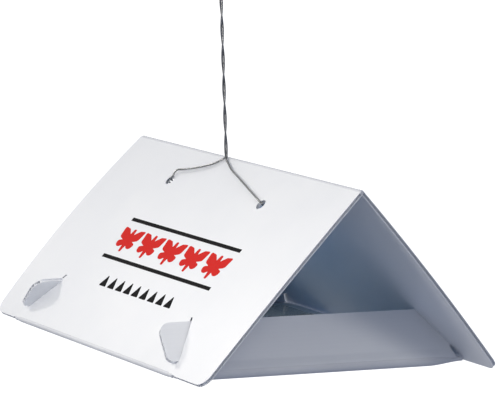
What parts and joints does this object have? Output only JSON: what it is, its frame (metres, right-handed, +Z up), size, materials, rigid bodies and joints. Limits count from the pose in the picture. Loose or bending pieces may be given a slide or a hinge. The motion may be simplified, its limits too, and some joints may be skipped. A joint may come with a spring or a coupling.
{
  "type": "pheromone insect trap",
  "caption": "Folding tent-shaped insect trap of white twin-wall plastic sheet with open ends, turned-up end flaps, a sticky insert and a twisted wire hanger.",
  "frame": {"origin": "inside top of the hanger's loop, where it bears on a hook or twig", "axes": "+X across the tent from the printed side to the plain side, +Y along the ridge from the front opening to the rear, +Z up"},
  "size_m": [0.214, 0.288, 0.2531],
  "materials": {
    "sheet": "satin white fluted polypropylene",
    "fold": "crushed white polypropylene fold",
    "wire": "dull galvanised",
    "card": "coated card",
    "glue": "wet tacky gloss",
    "lure_rubber": "matt grey rubber"
  },
  "bodies": {
    "hanger": {"hanger_wire": "wire"},
    "printed_side": {"printed_roof_panel": "sheet", "ridge_crease": "fold"},
    "plain_side": {"plain_roof_panel": "sheet"},
    "floor": {"floor_panel": "sheet", "floor_crease": "fold", "front_flap_crease": "fold", "rear_flap_crease": "fold", "sticky_liner": "card", "adhesive_coat": "glue", "lure_septum": "lure_rubber"},
    "front_flap": {"front_end_flap": "sheet", "front_printed_side_ear": "sheet", "front_plain_side_ear": "sheet"},
    "rear_flap": {"rear_end_flap": "sheet", "rear_printed_side_ear": "sheet", "rear_plain_side_ear": "sheet"}
  },
  "joints": [
    {"name": "hanger_swing", "type": "hinge", "parent": "hanger", "child": "printed_side", "pos_m": [-0.00309, -0.022, -0.15822], "axis": [0, 1, 0], "range_deg": [0, 40]},
    {"name": "ridge_fold", "type": "hinge", "parent": "printed_side", "child": "plain_side", "pos_m": [0.0132, -0.022, -0.1372], "axis": [0, -1, 0], "range_deg": [0, 95]},
    {"name": "floor_fold", "type": "hinge", "parent": "printed_side", "child": "floor", "pos_m": [-0.09085, -0.022, -0.25073], "axis": [0, 1, 0], "range_deg": [0, 132]},
    {"name": "front_flap_fold", "type": "hinge", "parent": "floor", "child": "front_flap", "pos_m": [0.0132, -0.1295, -0.25073], "axis": [1, 0, 0], "range_deg": [0, 150], "deforming": ["front_printed_side_ear", "front_plain_side_ear"]},
    {"name": "rear_flap_fold", "type": "hinge", "parent": "floor", "child": "rear_flap", "pos_m": [0.0132, 0.0939, -0.25073], "axis": [-1, 0, 0], "range_deg": [0, 150], "deforming": ["rear_printed_side_ear", "rear_plain_side_ear"]}
  ]
}
